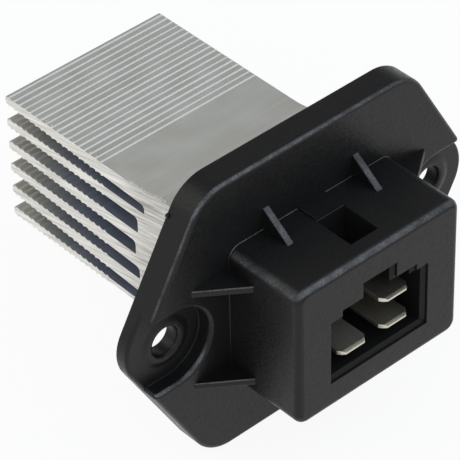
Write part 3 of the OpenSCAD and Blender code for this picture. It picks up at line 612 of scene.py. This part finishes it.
base_top = [(0.0, base_half_h), (groove_y, base_half_h), (groove_y, base_half_h - groove_d),
            (groove_y + groove_w, base_half_h - groove_d), (groove_y + groove_w, base_half_h)]
base_top += [(flare_end - flare_len + flare_len * k / flare_steps,
              half_fins + flare_rise * (1 - k / flare_steps) ** 2) for k in range(flare_steps)]
base_outline = [(y, -z) for y, z in reversed(base_top)] + base_top
sink_mesh = bpy.data.meshes.new("heat_sink_extrusion")
sink_mesh.from_pydata([(y * mm, z * mm, 0.0) for y, z in base_outline], [], [])
heat_sink = bpy.data.objects.new("heat_sink_extrusion", sink_mesh)
scene.collection.objects.link(heat_sink)

profile = bpy.data.node_groups.new("fin_profile", "GeometryNodeTree")
profile.interface.new_socket("Geometry", in_out="INPUT", socket_type="NodeSocketGeometry")
sink_sizes = {"Width": sink_w, "Length": sink_len, "Fin pitch": fin_pitch, "Tip thickness": fin_tip_t,
              "Half height": half_fins, "Root pitch": root_pitch, "Root drop": root_drop,
              "Root thickness": fin_root_t, "Root growth": fin_root_grow, "Top root": top_root_t,
              "Low root": low_root_t, "Crown depth": crown_y, "Crown radius": crown_r, "Roof radius": roof_r,
              "Sole radius": sole_r, "Flare end": flare_end, "Ridge pitch": ridge_pitch, "Ridge start": ridge_start,
              "Ridge height": ridge_h, "Ridge width": ridge_w, "Ridge drop": ridge_drop,
              "Slot ridge height": slot_ridge_h, "Slot ridge width": slot_ridge_w, "Flare length": flare_len,
              "Flare rise": flare_rise, "Burr start": burr_start, "Tick start": tick_start,
              "Burr pitch": burr_pitch, "Burr height": burr_h, "Burr width": burr_w}
size_ids = {name: profile.interface.new_socket(name, in_out="INPUT", socket_type="NodeSocketFloat").identifier
            for name in sink_sizes}
profile.interface.new_socket("Geometry", in_out="OUTPUT", socket_type="NodeSocketGeometry")
asked = profile.nodes.new("NodeGroupInput")
size = {name: asked.outputs[name] for name in sink_sizes}


def calc(operation, *values):
    return math_node(profile, operation, *values)


def pick(test, when_true, when_false):
    return calc("ADD", calc("MULTIPLY", test, when_true),
                calc("MULTIPLY", calc("SUBTRACT", 1.0, test), when_false))


def mixed(start, end, share):
    return calc("ADD", start, calc("MULTIPLY", calc("SUBTRACT", end, start), share))


middle = (fin_count - 1) / 2


def fin_middle(i, pitch):
    return calc("MULTIPLY", calc("SUBTRACT", middle, i), pitch)


def root_middle(i):
    return calc("SUBTRACT", fin_middle(i, size["Root pitch"]), size["Root drop"])


def root_half(i):
    return calc("MULTIPLY", 0.5, calc("ADD", size["Root thickness"],
                                      calc("MULTIPLY", size["Root growth"], calc("SUBTRACT", i, middle))))


def slot_roof(j):
    inner = calc("SUBTRACT", root_middle(j), root_half(j))
    return pick(calc("LESS_THAN", j, 0.5), calc("SUBTRACT", size["Half height"], size["Top root"]), inner)


def slot_sole(j):
    below = calc("ADD", j, 1.0)
    inner = calc("ADD", root_middle(below), root_half(below))
    return pick(calc("GREATER_THAN", j, fin_count - 2.5),
                calc("SUBTRACT", size["Low root"], size["Half height"]), inner)


def slot_depth(j):
    away = calc("ADD", calc("MULTIPLY", 0.5, calc("ADD", slot_roof(j), slot_sole(j))), size["Root drop"])
    return calc("SUBTRACT", size["Crown depth"],
                calc("DIVIDE", calc("MULTIPLY", away, away), calc("MULTIPLY", 2.0, size["Crown radius"])))


per_fin = 2 * face_steps + end_steps
comb_count = fin_count * per_fin - end_steps
index = add_node(profile, "GeometryNodeInputIndex").outputs[0]
fin = calc("FLOOR", calc("DIVIDE", calc("ADD", index, 0.5), float(per_fin)))
step = calc("SUBTRACT", index, calc("MULTIPLY", fin, float(per_fin)))
on_upper = calc("LESS_THAN", step, face_steps - 0.5)
on_end = calc("GREATER_THAN", step, 2 * face_steps - 0.5)
share = pick(on_upper, calc("DIVIDE", step, face_steps - 1.0),
             calc("SUBTRACT", 1.0, calc("DIVIDE", calc("SUBTRACT", step, float(face_steps)), face_steps - 1.0)))
above = calc("SUBTRACT", fin, 1.0)
first = calc("LESS_THAN", fin, 0.5)
last = calc("GREATER_THAN", fin, fin_count - 1.5)
upper_y = pick(first, size["Flare end"], calc("ADD", slot_depth(above), size["Sole radius"]))
upper_z = pick(first, size["Half height"], slot_sole(above))
lower_y = pick(last, size["Flare end"], calc("ADD", slot_depth(fin), size["Roof radius"]))
lower_z = pick(last, calc("MULTIPLY", -1.0, size["Half height"]), slot_roof(fin))
side = pick(on_upper, 1.0, -1.0)
tip_z = calc("ADD", fin_middle(fin, size["Fin pitch"]),
             calc("MULTIPLY", side, calc("MULTIPLY", 0.5, size["Tip thickness"])))
face_y = mixed(pick(on_upper, upper_y, lower_y), size["Length"], share)
face_z = mixed(pick(on_upper, upper_z, lower_z), tip_z, share)
from_ridge = calc("SUBTRACT", calc("SUBTRACT", size["Length"], size["Ridge start"]), face_y)
turn = calc("DIVIDE", from_ridge, size["Ridge pitch"])
in_ridges = calc("MULTIPLY", calc("GREATER_THAN", turn, -0.5), calc("LESS_THAN", turn, ridge_count - 0.5))
from_crest = calc("MULTIPLY", calc("SUBTRACT", turn, calc("ROUND", turn)), size["Ridge pitch"])
on_top = calc("MULTIPLY", first, on_upper)
slope_w = pick(on_top, size["Ridge width"], size["Slot ridge width"])
down_slope = calc("DIVIDE", from_crest, pick(calc("GREATER_THAN", from_crest, 0.0), slope_w, size["Ridge drop"]))
tooth_share = calc("SUBTRACT", 1.0, calc("MINIMUM", calc("ABSOLUTE", down_slope), 1.0))
ridge = product(profile, in_ridges, pick(on_top, size["Ridge height"], size["Slot ridge height"]), tooth_share)
tip_round = 0.35
to_tip = calc("MAXIMUM", calc("SUBTRACT", tip_round * mm, calc("SUBTRACT", size["Length"], face_y)), 0.0)
tip_drop = calc("SUBTRACT", tip_round * mm, calc("SQRT", calc("MAXIMUM", calc(
    "SUBTRACT", (tip_round * mm) ** 2, calc("MULTIPLY", to_tip, to_tip)), 0.0)))
face_z = calc("ADD", face_z, calc("MULTIPLY", side, calc("SUBTRACT", ridge, tip_drop)))
corner = calc("SUBTRACT", step, 2.0 * face_steps)
half_end = end_steps / 2
on_roof = calc("LESS_THAN", corner, half_end - 0.5)
corner_angle = pick(on_roof, calc("MULTIPLY_ADD", calc("ADD", corner, 1.0), math.pi / 2 / half_end, math.pi / 2),
                    calc("MULTIPLY_ADD", calc("SUBTRACT", corner, half_end), math.pi / 2 / half_end, math.pi))
corner_r_now = pick(on_roof, size["Roof radius"], size["Sole radius"])
end_y = calc("MULTIPLY_ADD", corner_r_now, calc("COSINE", corner_angle), calc("ADD", slot_depth(fin), corner_r_now))
end_z = calc("MULTIPLY_ADD", corner_r_now, calc("SINE", corner_angle), pick(
    on_roof, calc("SUBTRACT", slot_roof(fin), corner_r_now), calc("ADD", slot_sole(fin), corner_r_now)))


def at(x=0.0, y=0.0, z=0.0):
    return add_node(profile, "ShaderNodeCombineXYZ", inputs={"X": x, "Y": y, "Z": z}).outputs[0]


def points(count, place):
    return add_node(profile, "GeometryNodePoints", inputs={"Count": count, "Position": place}).outputs[0]


def marked(geometry, name, value):
    return add_node(profile, "GeometryNodeStoreNamedAttribute", {"data_type": "FLOAT", "domain": "POINT"},
                    {"Geometry": geometry, "Name": name, "Value": value}).outputs[0]


def mark(name):
    return add_node(profile, "GeometryNodeInputNamedAttribute", {"data_type": "FLOAT"}, {"Name": name}).outputs[0]


def together(*parts):
    node = profile.nodes.new("GeometryNodeJoinGeometry")
    for part in parts:
        profile.links.new(part, node.inputs[0])
    return node.outputs[0]


comb = marked(points(comb_count, at(pick(on_end, end_y, face_y), pick(on_end, end_z, face_z))), "order", index)
base = add_node(profile, "GeometryNodeMeshToPoints", inputs={"Mesh": asked.outputs["Geometry"]}).outputs[0]
base = marked(base, "order", calc("ADD", index, float(comb_count)))
ring = add_node(profile, "GeometryNodePointsToCurves", inputs={
    "Points": together(comb, base), "Weight": mark("order")}).outputs[0]
ring = add_node(profile, "GeometryNodeSetSplineCyclic", inputs={0: ring, "Cyclic": True}).outputs[0]
face = add_node(profile, "GeometryNodeFillCurve", {"mode": "NGONS"}, {"Curve": ring}).outputs[0]
pulled = add_node(profile, "GeometryNodeExtrudeMesh", {"mode": "FACES"}, {
    "Mesh": face, "Offset": at(z=size["Width"]), "Offset Scale": 1.0, "Individual": False}).outputs[0]
back_face = add_node(profile, "GeometryNodeFlipFaces", inputs={"Mesh": face}).outputs[0]
merged = add_node(profile, "GeometryNodeMergeByDistance", inputs={
    "Geometry": together(pulled, back_face), "Distance": 1e-6}).outputs[0]
drawn_at = axes(profile, add_node(profile, "GeometryNodeInputPosition").outputs[0])
stood = at(calc("SUBTRACT", drawn_at["Z"], calc("MULTIPLY", 0.5, size["Width"])), drawn_at["X"], drawn_at["Y"])
placed = add_node(profile, "GeometryNodeSetPosition", inputs={"Geometry": merged, "Position": stood}).outputs[0]

burr_x = calc("MULTIPLY", burr_side, size["Width"])
burr_y = calc("MULTIPLY_ADD", index, size["Burr pitch"], size["Burr start"])
up_flare = calc("DIVIDE", calc("SUBTRACT", size["Flare end"], burr_y), size["Flare length"])
up_flare = calc("MINIMUM", calc("MAXIMUM", up_flare, 0.0), 1.0)
burr_z = calc("MULTIPLY_ADD", calc("MULTIPLY", up_flare, up_flare), size["Flare rise"], size["Half height"])
tick_y = calc("MULTIPLY_ADD", index, size["Ridge pitch"], size["Tick start"])
burr_points = together(points(burr_count, at(burr_x, burr_y, burr_z)),
                       points(tick_count, at(burr_x, tick_y, size["Half height"])))
tooth = add_node(profile, "GeometryNodeMeshCone", {"fill_type": "NGON"}, {
    "Vertices": 5, "Radius Top": calc("MULTIPLY", 0.2, size["Burr width"]), "Radius Bottom": size["Burr width"],
    "Depth": size["Burr height"]}).outputs[0]


def scattered(low, high, seed):
    return add_node(profile, "FunctionNodeRandomValue", {"data_type": "FLOAT_VECTOR"},
                    {0: low, 1: high, "Seed": seed}).outputs[0]


lean = scattered((-1.45, -0.2, -1.0), (-1.15, 0.2, -0.5), 4)
stature = scattered((0.7, 0.7, 0.5), (1.1, 1.1, 1.2), 9)
burrs = add_node(profile, "GeometryNodeInstanceOnPoints", inputs={
    "Points": burr_points, "Instance": marked(tooth, "burr", 1.0), "Rotation": lean, "Scale": stature}).outputs[0]
realized = add_node(profile, "GeometryNodeRealizeInstances", inputs={"Geometry": together(placed, burrs)}).outputs[0]

drawn, tree, shader, place = start_finish("extruded_aluminium", 1.0, 0.42)
lines = noise(tree, stretched(tree, place, (40.0, 2600.0, 2600.0)), 1.0, 4.0)
clouds = noise(tree, place, 160.0, 5.0)
drawn_tone = math_node(tree, "MULTIPLY_ADD", lines, 0.6, math_node(tree, "MULTIPLY", clouds, 0.4))
bare = ramp(tree, drawn_tone, [(0.3, (0.70, 0.69, 0.645)), (0.7, (0.78, 0.77, 0.725))])
spot = axes(tree, place)
# Painted reflection: a thin dark band along the fin tips stands in for the dark surroundings their rounded edge
# reflects.
at_tip = spread(tree, spot["Y"], (sink_len - 0.45) * mm, (sink_len - 0.15) * mm)
painted_dark_tip = coat(tree, at_tip, bare, (0.30, 0.30, 0.305, 1.0))
# Painted shade: a darker bluish tone inside the slots, strongest toward the fin roots.
painted_slot_shade = product(tree, between(tree, spot["Z"], (half_fins - 0.4) * mm, (half_fins - 0.8) * mm),
                     between(tree, spot["Y"], 52 * mm, 25 * mm))
feed(shader, "Base Color", coat(tree, painted_slot_shade, painted_dark_tip, (0.65, 0.71, 0.88, 1.0), "MULTIPLY"))
feed(shader, "Roughness", ramp(tree, clouds, [(0.3, grey(0.46)), (0.7, grey(0.52))]))
roughen(tree, shader, lines, 0.25, 0.03 * mm)

sawn, tree, shader, place = start_finish("sawn_aluminium", 1.0, 0.4)
blade_tilt = (math.radians(11), 0.0, 0.0)
saw_way = add_node(tree, "ShaderNodeMapping", inputs={"Vector": place, "Rotation": blade_tilt}).outputs[0]
saw_lines = noise(tree, stretched(tree, saw_way, (900.0, 110.0, 2800.0)), 1.0, 5.0, 0.65)
saw_tone = ramp(tree, saw_lines, [(0.3, (0.36, 0.35, 0.32)), (0.5, (0.68, 0.665, 0.62)), (0.7, (0.97, 0.955, 0.91))])
along = axes(tree, place)["Y"]
base_tone = coat(tree, between(tree, along, 24 * mm, 16 * mm), saw_tone, (0.82, 0.815, 0.81, 1.0), "MULTIPLY")
clean_fins = math_node(tree, "MULTIPLY", 0.4, between(tree, along, 16 * mm, 26 * mm))
feed(shader, "Base Color", coat(tree, clean_fins, base_tone, (0.76, 0.745, 0.70, 1.0)))
feed(shader, "Roughness", ramp(tree, saw_lines, [(0.3, grey(0.46)), (0.7, grey(0.3))]))
roughen(tree, shader, saw_lines, 0.25, 0.08 * mm)

torn, tree, shader, place = start_finish("torn_aluminium", 1.0, 0.75)
tears = noise(tree, place, 3000.0, 2.0)
feed(shader, "Base Color", ramp(tree, tears, [(0.3, (0.80, 0.79, 0.77)), (0.7, (0.90, 0.89, 0.87))]))


def finished(geometry, material, where=True):
    return add_node(profile, "GeometryNodeSetMaterial", inputs={
        "Geometry": geometry, "Selection": where, "Material": material}).outputs[0]


facing = axes(profile, add_node(profile, "GeometryNodeInputNormal").outputs["Normal"])["X"]
at_end = calc("GREATER_THAN", calc("ABSOLUTE", facing), 0.7)
painted = finished(finished(finished(realized, drawn), sawn, at_end), torn, mark("burr"))
profile.links.new(painted, profile.nodes.new("NodeGroupOutput").inputs[0])
fins = heat_sink.modifiers.new("fins", "NODES")
fins.node_group = profile
for name, value in sink_sizes.items():
    fins[size_ids[name]] = value * mm
made = bpy.data.meshes.new_from_object(heat_sink.evaluated_get(bpy.context.evaluated_depsgraph_get()))
heat_sink.modifiers.clear()
heat_sink.data = made
for polygon in made.polygons:
    polygon.use_smooth = True
made.set_sharp_from_angle(angle=math.radians(42))
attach(heat_sink, "root")
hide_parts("heat_sink")

# Floor, light and camera of the picture: a white table, soft lamps and a long lens above and left of the socket.
# The lens, its roll and its aim were fitted to the part's corners.
floor_mesh = bpy.data.meshes.new("floor")
floor_half, floor_z = 3.0, -28.25 * mm
floor_mesh.from_pydata([(-floor_half, -floor_half, floor_z), (floor_half, -floor_half, floor_z),
                        (floor_half, floor_half, floor_z), (-floor_half, floor_half, floor_z)], [], [(0, 1, 2, 3)])
floor = bpy.data.objects.new("floor", floor_mesh)
scene.collection.objects.link(floor)
paper, tree, shader, place = start_finish("white_paper", 0.0, 0.8)
shader.inputs["Base Color"].default_value = (0.9, 0.9, 0.9, 1.0)
shader.inputs["Specular IOR Level"].default_value = 0.1
rays = add_node(tree, "ShaderNodeLightPath").outputs
seen = math_node(tree, "MAXIMUM", rays["Is Camera Ray"],
                 math_node(tree, "MAXIMUM", rays["Is Glossy Ray"], rays["Is Transmission Ray"]))
glow_share = math_node(tree, "MULTIPLY", seen, 0.91)
white = add_node(tree, "ShaderNodeEmission", inputs={"Color": (1, 1, 1, 1), "Strength": 1.0}).outputs[0]
mixer = add_node(tree, "ShaderNodeMixShader", inputs={0: glow_share, 1: shader.outputs[0], 2: white}).outputs[0]
feed(tree.nodes["Material Output"], "Surface", mixer)
floor_mesh.materials.append(paper)

world = bpy.data.worlds.new("studio")
scene.world = world
world.use_nodes = True
tree = world.node_tree
toward = axes(tree, add_node(tree, "ShaderNodeTexCoord").outputs["Generated"])
upper = ramp(tree, between(tree, toward["Y"], 0.5, -0.15), [(0.0, (0.28, 0.275, 0.255)), (1.0, (0.46, 0.49, 0.54))])
room = coat(tree, between(tree, toward["Z"], 0.45, 0.1), upper, (0.46, 0.50, 0.57, 1.0))
around = coat(tree, between(tree, toward["Z"], 0.2, 0.04), room, (0.9, 0.92, 0.95, 1.0))
feed(tree.nodes["Background"], "Color", around)

lamps = {"top_box": ((0.45, -0.1, 1.0), 1.0, 1.75, (0.76, 0.88, 1.0)),
         "key_box": ((0.52, -0.6, 0.6), 0.7, 2.2, (0.82, 0.91, 1.0)),
         "camera_box": ((-0.5, -0.62, 0.52), 0.8, 3.2, (0.92, 0.97, 1.0)),
         "left_box": ((-0.58, 0.5, 0.62), 0.8, 3.0, (1.0, 1.0, 1.0))}
for name, (spot, width, power, colour) in lamps.items():
    lamp = bpy.data.lights.new(name, "AREA")
    lamp.energy = power
    lamp.color = colour
    lamp.size = width
    lamp_object = bpy.data.objects.new(name, lamp)
    lamp_object.location = spot
    lamp_object.rotation_euler = (-Vector(spot)).to_track_quat("-Z", "Y").to_euler()
    scene.collection.objects.link(lamp_object)

photo_px, sensor_mm = 460, 36.0
focal_px = 3176.645
azimuth, elevation, roll = math.radians(-42.673), math.radians(40.241), math.radians(-0.589)
origin_px = (288.866, 251.077)
distance = 0.532
back = Vector((math.sin(azimuth) * math.cos(elevation), -math.cos(azimuth) * math.cos(elevation),
               math.sin(elevation)))
right = Vector((math.cos(azimuth), math.sin(azimuth), 0.0))
up = back.cross(right)
right, up = right * math.cos(roll) + up * math.sin(roll), up * math.cos(roll) - right * math.sin(roll)
eye = back * distance
aim = (right * ((photo_px / 2 - origin_px[0]) / focal_px)
       - up * ((photo_px / 2 - origin_px[1]) / focal_px) - back).normalized()
cam_right = (right - aim * right.dot(aim)).normalized()
cam_up = cam_right.cross(aim)
camera_data = bpy.data.cameras.new("photo_camera")
camera_data.sensor_fit = "HORIZONTAL"
camera_data.sensor_width = sensor_mm
camera_data.lens = focal_px / photo_px * sensor_mm
camera_data.clip_start = 0.01
camera_data.clip_end = 20.0
camera = bpy.data.objects.new("photo_camera", camera_data)
camera.matrix_world = Matrix(((cam_right.x, cam_up.x, -aim.x, eye.x), (cam_right.y, cam_up.y, -aim.y, eye.y),
                              (cam_right.z, cam_up.z, -aim.z, eye.z), (0.0, 0.0, 0.0, 1.0)))
scene.collection.objects.link(camera)
scene.camera = camera
